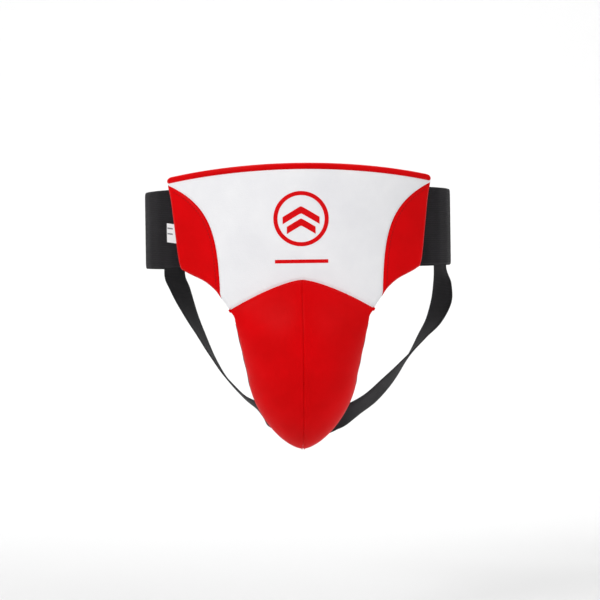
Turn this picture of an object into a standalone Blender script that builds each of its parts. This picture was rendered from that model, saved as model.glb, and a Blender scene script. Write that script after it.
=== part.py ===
# Boxing groin protector: padded waist panel, domed cup, elastic band with a rear hook-and-loop
# closure and two twisted leg straps. Metres, +Z up, the front faces -Y.
# The origin is the middle of the waist opening, at half the height of the band.
import math

import bmesh
import bpy
import numpy as np

MM = 0.001
GAP = 0.3 * MM  # left between pieces that touch

# Hips: the outer face of the elastic band is this ellipse, seen from above.
HIP_A = 158 * MM
HIP_B = 108 * MM
BAND_THICKNESS = 2.5 * MM
BAND_HALF_HEIGHT = 39 * MM
BAND_START = -43  # degrees from +X towards the back: where the band tucks behind the panel
HINGE_ANGLE = 40  # where each rear half starts to swing
BAND_END = 105  # where each rear half ends, past the middle of the back

# Padded front: its outer face is a wider ellipse, and it curves back below the cup's top.
PAD_A = 165 * MM
PAD_B = 120 * MM
PAD_HALF_WIDTH = 134 * MM
TOP_HEIGHT = 61 * MM  # top edge at the middle
TOP_DROP = 10.5 * MM  # how much lower the top edge is at its ends
RIM_HEIGHT = 6.5 * MM
SKIN = 1.2 * MM
FOAM_DEPTH = 11.2 * MM  # depth of the foam's back below the outer face, at the middle
FOAM_TAPER = 2.7 * MM  # how much thinner the foam is at its ends
LINING = 1.0 * MM

# Side seam between white and red: it falls from the top corner and flattens towards x = SEAM_IN.
SEAM_IN = 79.8 * MM
SEAM_SPREAD = 53.7 * MM
SEAM_TOP = 43.6 * MM
SEAM_LENGTH = 26 * MM
# Outer edge of the padding, from the top corner to the corner of the cup, as (x, z).
PAD_EDGE = [
    (134, 43.6), (130.5, 27), (127, -2), (122.5, -36), (116.5, -44), (98, -53.5),
    (87, -62.5), (81, -70.5), (76, -77), (72, -83),
]

# Cup: its seam with the white panel, its outline and its depth.
CUP_HALF_WIDTH = 72 * MM
CUP_TOP = -53.7 * MM
CUP_CORNER = -83 * MM
CUP_NECK = -93 * MM
CUP_TIP = -222 * MM
NECK_HALF_WIDTH = 66 * MM
WAIST_HALF_WIDTH = 53 * MM  # where the straight sides end and the point begins
POINT_START = -153 * MM
SEAM_POWER = 1.43
BULGE = 32 * MM
SWEEP_BACK = 40 * MM  # how far behind the panel's face the tip lies
ROWS, HALF_COLUMNS = 20, 14

# Layers of the cup: depths below its outer face, and the rows of the grid that each one covers.
CUP_FOAM = (2.2 * MM, 7.1 * MM, slice(1, 16))
HARD_CUP = (7.4 * MM, 10.4 * MM, slice(1, 14))
CUP_LINING = (10.7 * MM, 11.7 * MM, slice(2, 13))
VENTS = [(5, 9), (5, 13), (5, 17), (9, 11), (9, 15)]  # row and column of each vent hole

STRAP_WIDTH = 32 * MM
STRAP_END_WIDTH = 19 * MM  # the last stretch is folded narrower where it is sewn on
STRAP_THICKNESS = 1.8 * MM
# Each strap: its angle on the band, the points its middle follows, and its twist (z, degrees).
# It hangs from the band's inner face and crosses behind the cup to the anchor.
LEFT_STRAP = {
    "angle": 32,
    "path": [
        (-122.5, 50, -66), (-113.5, 42, -88), (-103, 29, -109), (-91, 11, -131), (-77.5, -9, -151),
        (-61, -32, -168.5), (-46, -50, -180.5), (-33, -62, -189.5), (-21, -66.8, -197),
        (-9, -67.8, -201.5),
    ],
    "twist": [(-41, 42), (-63, 38), (-84, 25), (-105, 15), (-141, 0), (-181, -8), (-194.5, -82),
              (-201, -90)],
}
RIGHT_STRAP = {
    "angle": 13,
    "path": [
        (151, 22, -64), (149, 20, -79), (141, 14.5, -97), (128, 7, -114), (112, -4, -134),
        (95, -19, -153), (75, -37, -170.5), (56.5, -51, -183), (39.5, -62, -192), (23, -66.8, -199),
        (10, -67.8, -202),
    ],
    "twist": [(-41, 20), (-60, 33), (-78, 38), (-97, 24), (-126, 0), (-157, -25), (-184, -34),
              (-196, -82), (-201.5, -90)],
}

WHITE = (0.88, 0.89, 0.91)
RED = (0.74, 0.006, 0.008)
BLACK = (0.022, 0.021, 0.024)
FOAM = (0.35, 0.35, 0.33)


# ---------------------------------------------------------------- building blocks


def material(name, colour, roughness):
    found = bpy.data.materials.get(name)
    if found:
        return found
    made = bpy.data.materials.new(name)
    made.use_nodes = True
    shader = made.node_tree.nodes["Principled BSDF"]
    shader.inputs["Base Color"].default_value = (*colour, 1)
    shader.inputs["Roughness"].default_value = roughness
    made.diffuse_color = (*colour, 1)
    return made


LEATHER_WHITE = ("white_pu_leather", WHITE, 0.45)
LEATHER_RED = ("red_pu_leather", RED, 0.42)
ELASTIC = ("black_elastic", BLACK, 0.9)
FABRIC = ("black_fabric", BLACK, 0.85)
FOAM_GREY = ("grey_eva_foam", FOAM, 0.95)
SHELL = ("black_moulded_shell", (0.04, 0.04, 0.045), 0.4)
THREAD = ("black_thread", (0.03, 0.03, 0.03), 0.7)
LABEL = ("white_woven_label", (0.85, 0.85, 0.85), 0.7)


def finish(name, work, look):
    """Turns a closed bmesh into the named sub-part, facing outwards."""
    bmesh.ops.remove_doubles(work, verts=work.verts, dist=1e-6)
    bmesh.ops.dissolve_degenerate(work, edges=work.edges, dist=1e-6)
    bmesh.ops.recalc_face_normals(work, faces=work.faces)
    mesh = bpy.data.meshes.new(name)
    work.to_mesh(mesh)
    work.free()
    mesh.materials.append(material(*look))
    mesh.shade_smooth()
    mesh.set_sharp_from_angle(angle=math.radians(35))
    part = bpy.data.objects.new(name, mesh)
    bpy.context.collection.objects.link(part)
    return part


def slab(name, outer, inner, look, holes=()):
    """A closed solid between two grids of points of the same shape, walled along every open edge.

    holes lists cells (row, column) that are left open right through.
    """
    rows, columns = outer.shape[:2]
    work = bmesh.new()
    grids = [[[work.verts.new(point) for point in line] for line in grid] for grid in (outer, inner)]
    cells = {
        (i, j) for i in range(rows - 1) for j in range(columns - 1) if (i, j) not in set(holes)
    }
    for i, j in cells:
        corners = [(i, j), (i, j + 1), (i + 1, j + 1), (i + 1, j)]
        neighbours = [(i - 1, j), (i, j + 1), (i + 1, j), (i, j - 1)]
        for grid in grids:
            work.faces.new([grid[a][b] for a, b in corners])
        for k, beside in enumerate(neighbours):
            if beside not in cells:
                (a, b), (c, d) = corners[k], corners[(k + 1) % 4]
                work.faces.new([grids[0][a][b], grids[0][c][d], grids[1][c][d], grids[1][a][b]])
    return finish(name, work, look)


def smooth_path(points, per_span=8):
    """Points of a smooth curve through the given ones, Catmull-Rom."""
    p = np.array(points, float)
    p = np.vstack([2 * p[0] - p[1], p, 2 * p[-1] - p[-2]])
    s = np.linspace(0, 1, per_span, endpoint=False)[:, None]
    spans = [
        0.5 * (2 * b + (c - a) * s + (2 * a - 5 * b + 4 * c - d) * s**2
               + (3 * b - a - 3 * c + d) * s**3)
        for a, b, c, d in zip(p[:-3], p[1:-2], p[2:-1], p[3:])
    ]
    return np.vstack([*spans, p[-2]])


def mirrored(grid):
    return grid * np.array([-1, 1, 1])


# ---------------------------------------------------------------- the padded front


EDGE = smooth_path(PAD_EDGE) * MM


def pad_edge_x(z):
    """Half-width of the padding at height z."""
    return np.interp(z, EDGE[::-1, 1], EDGE[::-1, 0])


def seam_x(z):
    """The side seam: an exponential that flattens towards SEAM_IN on its way down."""
    return SEAM_IN + SEAM_SPREAD * np.exp((z - SEAM_TOP) / SEAM_LENGTH)


def cup_seam_z(x):
    """The seam between the white panel and the cup: a bell with its top at the middle."""
    fall = (CUP_TOP - CUP_CORNER) * (np.abs(x) / CUP_HALF_WIDTH) ** SEAM_POWER
    return CUP_TOP - fall


def top_z(x):
    return TOP_HEIGHT - TOP_DROP * (x / PAD_HALF_WIDTH) ** 2


def face_y(x, z):
    """The outer face without the cup's dome: an ellipse that sweeps back towards the tip."""
    down = np.clip((CUP_TOP - z) / (CUP_TOP - CUP_TIP), 0, 1)
    return -PAD_B * np.sqrt(1 - (x / PAD_A) ** 2) + SWEEP_BACK * down**2.2


def below_face(x, z, depth):
    """Points at a depth below the outer face, measured square to it."""
    step = 0.01 * MM
    slope_x = (face_y(x + step, z) - face_y(x - step, z)) / (2 * step)
    slope_z = (face_y(x, z + step) - face_y(x, z - step)) / (2 * step)
    inward = np.stack([-slope_x, np.ones_like(slope_x), -slope_z], axis=-1)
    inward /= np.linalg.norm(inward, axis=-1, keepdims=True)
    outer = np.stack([x, face_y(x, z), z], axis=-1)
    return outer + inward * np.asarray(depth)[..., None]


def foam_back(x):
    """Depth of the foam's back: it thins out beyond the middle of the panel."""
    return FOAM_DEPTH - FOAM_TAPER * np.clip((np.abs(x) - 60 * MM) / (70 * MM), 0, 1)


def columns_between(xs, low, high, rows):
    """Grids of x and z whose columns run from low to high."""
    share = np.linspace(0, 1, rows)[:, None]
    return np.tile(xs, (rows, 1)), low + (high - low) * share + 0 * xs


def waist_columns(side_x, side_z):
    """Columns and their lowest z for a piece that ends on the cup's seam and on a side curve."""
    cup = np.linspace(0, CUP_HALF_WIDTH, 12)
    below = [(76 * MM, -77 * MM), (79 * MM, -73 * MM)]
    xs = np.concatenate([cup, [p[0] for p in below], side_x])
    low = np.concatenate([cup_seam_z(cup), [p[1] for p in below], side_z])
    return np.concatenate([-xs[:0:-1], xs]), np.concatenate([low[:0:-1], low])


def white_front_panel():
    side_z = np.array([-68, -58, -46, -34, -22, -12, -3, 5, 12, 18, 23.5, 28.5, 32.5, 36, 39.5]) * MM
    xs, low = waist_columns(seam_x(side_z) - GAP, side_z)
    x, z = columns_between(xs, low + GAP, top_z(xs) - RIM_HEIGHT - GAP, 7)
    slab("white_front_panel", below_face(x, z, 0 * x), below_face(x, z, 0 * x + SKIN), LEATHER_WHITE)


def side_panels():
    heights = np.array([43, 39.5, 35, 29.5, 23, 15, 5, -6, -18, -29, -36, -39.5, -42, -44.5, -48,
                        -52, -57, -62, -66.5]) * MM
    share = np.linspace(0, 1, 6)
    inner = seam_x(heights)[:, None]
    x = inner + (pad_edge_x(heights)[:, None] - inner) * share
    z = np.tile(heights[:, None], (1, len(share)))
    outer, back = below_face(x, z, 0 * x), below_face(x, z, 0 * x + SKIN)
    slab("right_side_panel", outer, back, LEATHER_RED)
    slab("left_side_panel", mirrored(outer), mirrored(back), LEATHER_RED)


def waist_padding():
    """The foam sheet under the leather, its fabric lining and the gusset along its top edge."""
    side_z = np.array([-66, -60, -54, -49, -45.5, -42.5, -39, -34, -22, -8, 8, 24, 38]) * MM
    inset = 1.5 * MM
    xs, low = waist_columns(pad_edge_x(side_z) - inset, side_z)
    rim_line = top_z(xs) - RIM_HEIGHT - GAP
    x, z = columns_between(xs, low + inset, rim_line, 7)
    slab("waist_foam", below_face(x, z, 0 * x + SKIN + GAP), below_face(x, z, foam_back(x)), FOAM_GREY)

    reach = np.abs(xs) < 117 * MM
    x, z = columns_between(xs[reach], (low + 2 * inset)[reach], rim_line[reach], 7)
    top = foam_back(x) + GAP
    slab("waist_lining", below_face(x, z, top), below_face(x, z, top + LINING), FABRIC)

    xs = np.linspace(-PAD_HALF_WIDTH, PAD_HALF_WIDTH, 41)
    x, z = columns_between(xs, top_z(xs) - RIM_HEIGHT, top_z(xs), 2)
    slab("top_gusset", below_face(x, z, 0 * x), below_face(x, z, foam_back(x)), LEATHER_RED)


# ---------------------------------------------------------------- the cup


def cup_half_width(z):
    """The outline: a short curve to the neck, straight sides, then a rounded point."""
    neck = NECK_HALF_WIDTH + (CUP_HALF_WIDTH - NECK_HALF_WIDTH) * np.clip(
        (z - CUP_NECK) / (CUP_CORNER - CUP_NECK), 0, 1
    ) ** 2
    side = NECK_HALF_WIDTH + (WAIST_HALF_WIDTH - NECK_HALF_WIDTH) * (CUP_NECK - z) / (
        CUP_NECK - POINT_START
    )
    down = np.clip((POINT_START - z) / (POINT_START - CUP_TIP), 0, 1)
    point = WAIST_HALF_WIDTH * (1 - down**1.5) ** 0.62
    return np.where(z > CUP_NECK, neck, np.where(z > POINT_START, side, point))


def cup_face(s, v):
    """The cup's outer face. s runs from -1 to 1 across, v from 0 at the seam to 1 at the tip."""
    turn = s * math.pi / 2
    down = np.sin(v * math.pi / 2)
    edge_z = CUP_CORNER + (CUP_TIP - CUP_CORNER) * down
    middle_z = CUP_TOP + (CUP_TIP - CUP_TOP) * down
    across = np.sin(turn)
    x = cup_half_width(edge_z) * across
    z = middle_z + (edge_z - middle_z) * np.abs(across) ** SEAM_POWER
    rise = 1 - np.clip(1 - 2 * down, 0, 1) ** 2.2
    fall = np.clip(1 - np.clip(2 * down - 1, 0, 1) ** 2.6, 0, 1) ** 0.6
    y = face_y(x, z) - BULGE * rise * fall * np.cos(turn)
    return np.stack([x, y, z], axis=-1)


def cup_layer(s, v, depth):
    """The cup's face moved inwards by a depth, level: sideways at its rim, back at its middle."""
    turn = s * math.pi / 2
    inward = np.stack([-np.sin(turn), np.cos(turn), 0 * turn], axis=-1)
    return cup_face(s, v) + inward * depth


def cup_skin(s, v):
    """The inner side of the cup's leather, square to its face."""
    step = 1e-4
    across = cup_face(s + step, v) - cup_face(s - step, v)
    along = cup_face(s, v + step) - cup_face(s, v - step)
    inward = np.cross(across, along)
    inward /= np.linalg.norm(inward, axis=-1, keepdims=True)
    inward *= np.sign(inward[..., 1:2].mean())
    return cup_face(s, v) + inward * SKIN


def cup_grid(columns, rows):
    v = np.linspace(0.004, 0.93, ROWS + 1)[rows]
    return np.meshgrid(np.linspace(-1, 1, 2 * HALF_COLUMNS + 1)[columns], v)


def cup_shells():
    s, v = cup_grid(slice(HALF_COLUMNS, None), slice(None))
    s[:, 0] = 0.0025
    outer, back = cup_face(s, v), cup_skin(s, v)
    slab("cup_cover_right", outer, back, LEATHER_RED)
    slab("cup_cover_left", mirrored(outer), mirrored(back), LEATHER_RED)
    for name, (top, bottom, rows), look, holes in (
        ("cup_foam", CUP_FOAM, FOAM_GREY, ()),
        ("hard_cup", HARD_CUP, SHELL, VENTS),
        ("cup_lining", CUP_LINING, FABRIC, ()),
    ):
        s, v = cup_grid(slice(None), rows)
        slab(name, cup_layer(s, v, top), cup_layer(s, v, bottom), look, holes)


def cup_cushion():
    """The padded roll along the back of the cup's rim, open at the top."""
    down = np.sin(np.linspace(0.05, 0.93, 15) * math.pi / 2)
    z = CUP_CORNER + (CUP_TIP - CUP_CORNER) * down
    x = cup_half_width(z) - 0.5 * MM
    x, z = np.concatenate([x, -x[::-1]]), np.concatenate([z, z[::-1]])
    inner_x, inner_z = 0.8 * x, 0.8 * z - 0.2 * 125 * MM
    x, z = np.stack([x, inner_x], axis=-1), np.stack([z, inner_z], axis=-1)
    y = np.repeat(face_y(x, z)[:, :1], 2, axis=1) + 2.5 * MM
    front = np.stack([x, y, z], axis=-1)
    back = front + np.array([0, 6.5 * MM, 0])
    slab("cup_cushion", front, back, FABRIC)


def emblem():
    """A plain ring with two chevrons across it, and a bar below: heat-pressed film."""
    middle_z, radius, width = 6 * MM, 27 * MM, 4 * MM
    ring = bmesh.new()
    turns = np.linspace(0, 2 * math.pi, 48, endpoint=False)

    def plate(outline):
        """A flat outline in x and z, laid on the panel's face as a thin closed plate."""
        x, z = outline[:, 0], outline[:, 1] + middle_z
        return below_face(x, z, 0 * x - GAP), below_face(x, z, 0 * x - GAP - 0.5 * MM)

    circle = np.stack([np.cos(turns), np.sin(turns)], axis=-1)
    loops = []
    for size in (radius, radius - width):
        for points in plate(circle * size):
            loops.append([ring.verts.new(p) for p in points])
    outer_back, outer_front, inner_back, inner_front = loops
    for one, two in ((outer_back, outer_front), (outer_front, inner_front),
                     (inner_front, inner_back), (inner_back, outer_back)):
        for k in range(len(turns)):
            n = (k + 1) % len(turns)
            ring.faces.new([one[k], one[n], two[n], two[k]])
    finish("emblem_ring", ring, LEATHER_RED)

    arm = np.linspace(-1, 1, 13)
    for name, peak, reach in (("emblem_upper_chevron", 9 * MM, 18 * MM),
                              ("emblem_lower_chevron", -3 * MM, 14 * MM)):
        x = arm * reach
        low = peak - np.abs(x) * 0.6
        grid = np.stack([np.stack([x, low - 3.5 * MM], -1), np.stack([x, low + 3.5 * MM], -1)])
        backs = [plate(line)[0] for line in grid]
        fronts = [plate(line)[1] for line in grid]
        slab(name, np.stack(fronts), np.stack(backs), LEATHER_RED)
    x, z = columns_between(np.linspace(-26, 26, 13) * MM, -34 * MM - 3.5 * MM, -34 * MM, 2)
    slab("emblem_bar", below_face(x, z, 0 * x - GAP - 0.5 * MM), below_face(x, z, 0 * x - GAP),
         LEATHER_RED)


# ---------------------------------------------------------------- band and closure


def on_hips(angle, rise, z):
    """A point beside the band's outer ellipse: rise is outwards, angle is from +X to the back."""
    t = np.radians(angle)
    x, y = HIP_A * np.cos(t), HIP_B * np.sin(t)
    out = np.stack([np.cos(t) / HIP_A, np.sin(t) / HIP_B], axis=-1)
    out /= np.linalg.norm(out, axis=-1, keepdims=True)
    rise = np.asarray(rise) + 0 * t
    return np.stack([x + out[..., 0] * rise, y + out[..., 1] * rise, z + 0 * t], axis=-1)


def wrap(name, angles, low, high, half_height, look, side=1, middle=0.0):
    """A strip that follows the hips between two rises, one per angle or one for all."""
    angles = np.asarray(angles, float)
    low, high = np.asarray(low) + 0 * angles, np.asarray(high) + 0 * angles
    heights = (middle - half_height, middle + half_height)
    outer = np.stack([on_hips(angles, high, z) for z in heights])
    inner = np.stack([on_hips(angles, low, z) for z in heights])
    if side < 0:
        outer, inner = mirrored(outer), mirrored(inner)
    return slab(name, outer, inner, look)


CLEAR = 0.3  # degrees left at each split in the band
LOOP = (GAP, GAP + 1.5 * MM)
HOOK = (LOOP[1] + GAP, LOOP[1] + GAP + 1.5 * MM)
OUTER_RISE = HOOK[1] + GAP + BAND_THICKNESS


def waistband():
    side = np.linspace(BAND_START, HINGE_ANGLE - CLEAR, 22)
    rear = np.linspace(HINGE_ANGLE + CLEAR, BAND_END, 20)
    lift = OUTER_RISE * np.clip((rear - 48) / 20, 0, 1)
    lift = lift * lift * (3 * OUTER_RISE - 2 * lift) / OUTER_RISE**2
    wrap("right_side_band", side, -BAND_THICKNESS, 0, BAND_HALF_HEIGHT, ELASTIC)
    wrap("left_side_band", side, -BAND_THICKNESS, 0, BAND_HALF_HEIGHT, ELASTIC, -1)
    wrap("right_rear_band", rear, lift - BAND_THICKNESS, lift, BAND_HALF_HEIGHT, ELASTIC)
    wrap("left_rear_band", rear, -BAND_THICKNESS, 0, BAND_HALF_HEIGHT, ELASTIC, -1)
    wrap("hook_patch", np.linspace(80, 104, 8), *HOOK, 33 * MM, FABRIC)
    wrap("loop_patch", np.linspace(60, 103, 10), *LOOP, 33 * MM, FABRIC, -1)
    tab = np.linspace(BAND_END + CLEAR, BAND_END + 7, 4)
    wrap("closure_pull_tab", tab, OUTER_RISE - BAND_THICKNESS, OUTER_RISE + 0.8 * MM, 30 * MM,
         LEATHER_RED)
    wrap("left_end_binding", np.linspace(BAND_END + CLEAR, BAND_END + 3, 3), -BAND_THICKNESS, 0,
         BAND_HALF_HEIGHT, FABRIC, -1)
    wrap("size_label", np.linspace(-36, -31, 4), GAP, GAP + 0.4 * MM, 9 * MM, LABEL, -1, -6 * MM)


def bar_tacks():
    """The rows of dense stitching that hold the band's ends and the straps."""
    inner = -BAND_THICKNESS - GAP
    for side, word in ((1, "right"), (-1, "left")):
        for z, place in ((27, "upper"), (-27, "lower")):
            wrap(f"{word}_band_{place}_tack", [BAND_START + 1, BAND_START + 2.5],
                 inner - 1 * MM, inner, 8 * MM, THREAD, side, z * MM)
    for strap, side, word in ((RIGHT_STRAP, 1, "right"), (LEFT_STRAP, -1, "left")):
        angle = strap["angle"]
        start = inner - STRAP_THICKNESS - GAP
        for z, place in ((-17, "upper"), (-35, "lower")):
            wrap(f"{word}_strap_{place}_tack", np.linspace(angle - 6, angle + 6, 4),
                 start - 0.8 * MM, start, 1.2 * MM, THREAD, side, z * MM)


# ---------------------------------------------------------------- leg straps


def leg_strap(name, strap, side):
    """A flat ribbon: against the band at its top, then along its path with its twist."""
    depth = -BAND_THICKNESS - GAP - STRAP_THICKNESS / 2
    angle = strap["angle"]
    hang = [on_hips(angle, depth, z * MM) * [side, 1, 1] for z in (-12, -26, -40)]
    middle = smooth_path(np.vstack([hang, np.array(strap["path"]) * MM]), 3)
    along = np.gradient(middle, axis=0)
    along /= np.linalg.norm(along, axis=1, keepdims=True)
    twist_z, twist = np.array(strap["twist"], float).T
    turn = np.radians(np.interp(-middle[:, 2], -twist_z * MM, twist))[:, None]
    level = np.stack([along[:, 2], 0 * along[:, 0], -along[:, 0]], axis=1) * side
    level /= np.linalg.norm(level, axis=1, keepdims=True)
    back = np.array([0, 1, 0]) - along * along[:, 1:2]
    back /= np.linalg.norm(back, axis=1, keepdims=True)
    across = level * np.sin(turn) + back * np.cos(turn)
    across -= along * (across * along).sum(axis=1, keepdims=True)
    across /= np.linalg.norm(across, axis=1, keepdims=True)
    normal = np.cross(along, across)
    share = np.linspace(-0.5, 0.5, 5)
    fold = np.clip(np.linspace(5, 0, len(middle)) - 0.6, 0, 1)
    width = STRAP_END_WIDTH + (STRAP_WIDTH - STRAP_END_WIDTH) * fold
    flat = middle[:, None] + across[:, None] * (width[:, None] * share)[..., None]

    # Beside the band the ribbon takes the band's own curve, then it eases to flat.
    t = math.radians(angle)
    per_degree = math.radians(1) * math.hypot(HIP_A * math.sin(t), HIP_B * math.cos(t))
    angles = angle + share * STRAP_WIDTH / per_degree
    hugged = np.stack([on_hips(angles, depth, z) * [side, 1, 1] for z in middle[:, 2]])
    hugged_out = np.stack([on_hips(angles, depth + 1 * MM, z) * [side, 1, 1] for z in middle[:, 2]])
    ease = np.clip((-BAND_HALF_HEIGHT - middle[:, 2]) / (20 * MM), 0, 1)[:, None, None]
    ease = ease * ease * (3 - 2 * ease)
    centre = hugged * (1 - ease) + flat * ease
    sign = np.sign((normal[0] * (hugged_out - hugged)[0, 2]).sum())
    normals = (hugged_out - hugged) / MM * (1 - ease) + (sign * normal)[:, None] * ease
    normals /= np.linalg.norm(normals, axis=2, keepdims=True)
    half = STRAP_THICKNESS / 2
    slab(name, centre + normals * half, centre - normals * half, ELASTIC)


def strap_anchor():
    """The webbing patch behind the tip, which both straps are sewn to."""
    z = np.array([[-210], [-190]]) * MM
    x = (cup_half_width(z) - 5 * MM) * np.array([-1, -0.5, 0, 0.5, 1])
    front = np.stack([x, 0 * x - 71 * MM, z + 0 * x], axis=-1)
    slab("strap_anchor", front, front + np.array([0, 1.8 * MM, 0]), FABRIC)


for old in list(bpy.data.objects):
    bpy.data.objects.remove(old, do_unlink=True)

white_front_panel()
side_panels()
waist_padding()
cup_shells()
cup_cushion()
emblem()
waistband()
bar_tacks()
leg_strap("left_leg_strap", LEFT_STRAP, -1)
leg_strap("right_leg_strap", RIGHT_STRAP, 1)
strap_anchor()
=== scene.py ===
# Boxing groin protector, the looks: leather skins over foam, cup, elastic band, straps, closure.
# Metres, +Z up, the front faces -Y, and the origin is the middle of the waist opening.
import math
import bmesh
import bpy
import numpy as np
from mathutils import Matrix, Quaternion, Vector


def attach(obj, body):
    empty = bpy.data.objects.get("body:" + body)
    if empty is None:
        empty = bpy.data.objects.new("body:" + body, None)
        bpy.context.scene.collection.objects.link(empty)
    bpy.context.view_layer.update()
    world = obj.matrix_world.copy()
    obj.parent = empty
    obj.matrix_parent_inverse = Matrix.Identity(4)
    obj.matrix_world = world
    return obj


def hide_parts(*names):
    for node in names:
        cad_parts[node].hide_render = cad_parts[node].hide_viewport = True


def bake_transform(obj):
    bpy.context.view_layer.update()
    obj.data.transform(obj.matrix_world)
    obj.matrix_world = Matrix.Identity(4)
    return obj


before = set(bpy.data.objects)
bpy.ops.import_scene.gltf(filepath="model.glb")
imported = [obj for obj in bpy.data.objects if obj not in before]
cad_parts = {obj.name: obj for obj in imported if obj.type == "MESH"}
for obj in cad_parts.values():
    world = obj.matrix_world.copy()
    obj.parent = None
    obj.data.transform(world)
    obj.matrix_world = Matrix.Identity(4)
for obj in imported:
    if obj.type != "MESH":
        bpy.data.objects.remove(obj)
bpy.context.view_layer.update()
mm = 0.001
up = np.array([0.0, 0.0, 1.0])
forwards = np.array([0.0, -1.0, 0.0])
mirror = np.array([-1.0, 1.0, 1.0])
leatherThickness = 1.1 * mm
print("frame loaded:", len(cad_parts), "nodes")

# ---- the padded front and the cup, as measured on the frame

hips = {"a": 158 * mm, "b": 108 * mm, "thickness": 2.5 * mm, "halfHeight": 39 * mm}
pad = {
    "a": 165 * mm, "b": 120 * mm, "halfWidth": 134 * mm, "top": 61 * mm, "topDrop": 10.5 * mm,
    "rim": 6.5 * mm, "depth": 12.5 * mm, "taper": 2.7 * mm,
    "edgeRadius": 4.5 * mm,  # how far in the rounding of the free edges reaches
}
seam = {"inner": 79.8 * mm, "spread": 53.7 * mm, "top": 43.6 * mm, "length": 26 * mm}
cup = {
    "halfWidth": 72 * mm, "top": -53.7 * mm, "corner": -83 * mm, "neck": -93 * mm,
    "tip": -222 * mm, "neckHalf": 66 * mm, "sideHalf": 53 * mm, "pointStart": -153 * mm,
    "power": 1.43, "bulge": 32 * mm, "sweep": 40 * mm,
}
padEdge = [
    (134, 43.6), (130.5, 27), (127, -2), (122.5, -36), (116.5, -44), (98, -53.5),
    (87, -62.5), (81, -70.5), (76, -77), (72, -83),
]


def unit(rows):
    return rows / np.linalg.norm(rows, axis=-1, keepdims=True)


def backOf(along):
    # +Y made square to a path's direction
    return unit(np.array([0, 1, 0]) - along * along[:, 1:2])


def eased(share):
    # 0 to 1 with level ends: three squares less two cubes
    return share * share * (3 - 2 * share)


def smoothPath(points, perSpan=12):
    # a curve through the points whose slope at each one is that of its two neighbours
    p = np.array(points, float)
    p = np.vstack([2 * p[0] - p[1], p, 2 * p[-1] - p[-2]])
    s = np.linspace(0, 1, perSpan, endpoint=False)[:, None]
    spans = []
    for a, b, c, d in zip(p[:-3], p[1:-2], p[2:-1], p[3:]):
        cubic = (3 * b - a - 3 * c + d) * s**3
        spans.append(0.5 * (2 * b + (c - a) * s + (2 * a - 5 * b + 4 * c - d) * s**2 + cubic))
    return np.vstack([*spans, p[-2]])


edgeLine = smoothPath(padEdge) * mm


def edgeX(z):
    return np.interp(z, edgeLine[::-1, 1], edgeLine[::-1, 0])


def edgeZ(x):
    return np.interp(x, edgeLine[::-1, 0], edgeLine[::-1, 1])


def seamX(z):
    # falls from the top corner and flattens towards its inner line, as an exponential
    return seam["inner"] + seam["spread"] * np.exp((z - seam["top"]) / seam["length"])


def cupSeamZ(x):
    # a bell: the drop grows as a power of the distance from the middle
    fall = (cup["top"] - cup["corner"]) * (np.abs(x) / cup["halfWidth"]) ** cup["power"]
    return cup["top"] - fall


def topZ(x):
    return pad["top"] - pad["topDrop"] * (x / pad["halfWidth"]) ** 2


def faceY(x, z):
    # an ellipse seen from above, swept back towards the tip below the cup's top
    down = np.clip((cup["top"] - z) / (cup["top"] - cup["tip"]), 0, 1)
    return -pad["b"] * np.sqrt(1 - (x / pad["a"]) ** 2) + cup["sweep"] * down**2.2


def onFace(x, z, depth):
    # the point at a depth below the face, along the line square to it
    step = 0.01 * mm
    slopeX = (faceY(x + step, z) - faceY(x - step, z)) / (2 * step)
    slopeZ = (faceY(x, z + step) - faceY(x, z - step)) / (2 * step)
    inward = unit(np.stack([-slopeX, np.ones_like(slopeX), -slopeZ], axis=-1))
    return np.stack([x, faceY(x, z), z], axis=-1) + inward * np.asarray(depth)[..., None]


def padDepth(x):
    return pad["depth"] - pad["taper"] * np.clip((np.abs(x) - 60 * mm) / (70 * mm), 0, 1)


def cupHalfWidth(z):
    # a short flare at the corner, straight sides, then a rounded point
    flare = np.clip((z - cup["neck"]) / (cup["corner"] - cup["neck"]), 0, 1) ** 2
    neck = cup["neckHalf"] + (cup["halfWidth"] - cup["neckHalf"]) * flare
    share = (cup["neck"] - z) / (cup["neck"] - cup["pointStart"])
    side = cup["neckHalf"] + (cup["sideHalf"] - cup["neckHalf"]) * share
    down = np.clip((cup["pointStart"] - z) / (cup["pointStart"] - cup["tip"]), 0, 1)
    point = cup["sideHalf"] * (1 - down**1.5) ** 0.62
    return np.where(z > cup["neck"], neck, np.where(z > cup["pointStart"], side, point))


def cupFace(s, v, depth=0.0):
    # s runs -1 to 1 across and v 0 to 1 down; x follows a sine and the dome a cosine of s
    turn = s * math.pi / 2
    down = np.sin(v * math.pi / 2)
    edgeHeight = cup["corner"] + (cup["tip"] - cup["corner"]) * down
    middle = cup["top"] + (cup["tip"] - cup["top"]) * down
    across = np.sin(turn)
    x = cupHalfWidth(edgeHeight) * across
    z = middle + (edgeHeight - middle) * np.abs(across) ** cup["power"]
    rise = 1 - np.clip(1 - 2 * down, 0, 1) ** 2.2
    fall = np.clip(1 - np.clip(2 * down - 1, 0, 1) ** 2.6, 0, 1) ** 0.6
    y = faceY(x, z) - cup["bulge"] * rise * fall * np.cos(turn)
    return np.stack([x - depth * across, y + depth * np.cos(turn), z], axis=-1)


def onHips(angle, rise, z):
    # beside the band's outer ellipse; angle in degrees from +X towards the back
    t = np.radians(np.asarray(angle, float))
    out = unit(np.stack([np.cos(t) / hips["a"], np.sin(t) / hips["b"]], axis=-1))
    x = hips["a"] * np.cos(t) + out[..., 0] * rise
    y = hips["b"] * np.sin(t) + out[..., 1] * rise
    return np.stack(np.broadcast_arrays(x, y, z), axis=-1)


# ---- meshes

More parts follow.
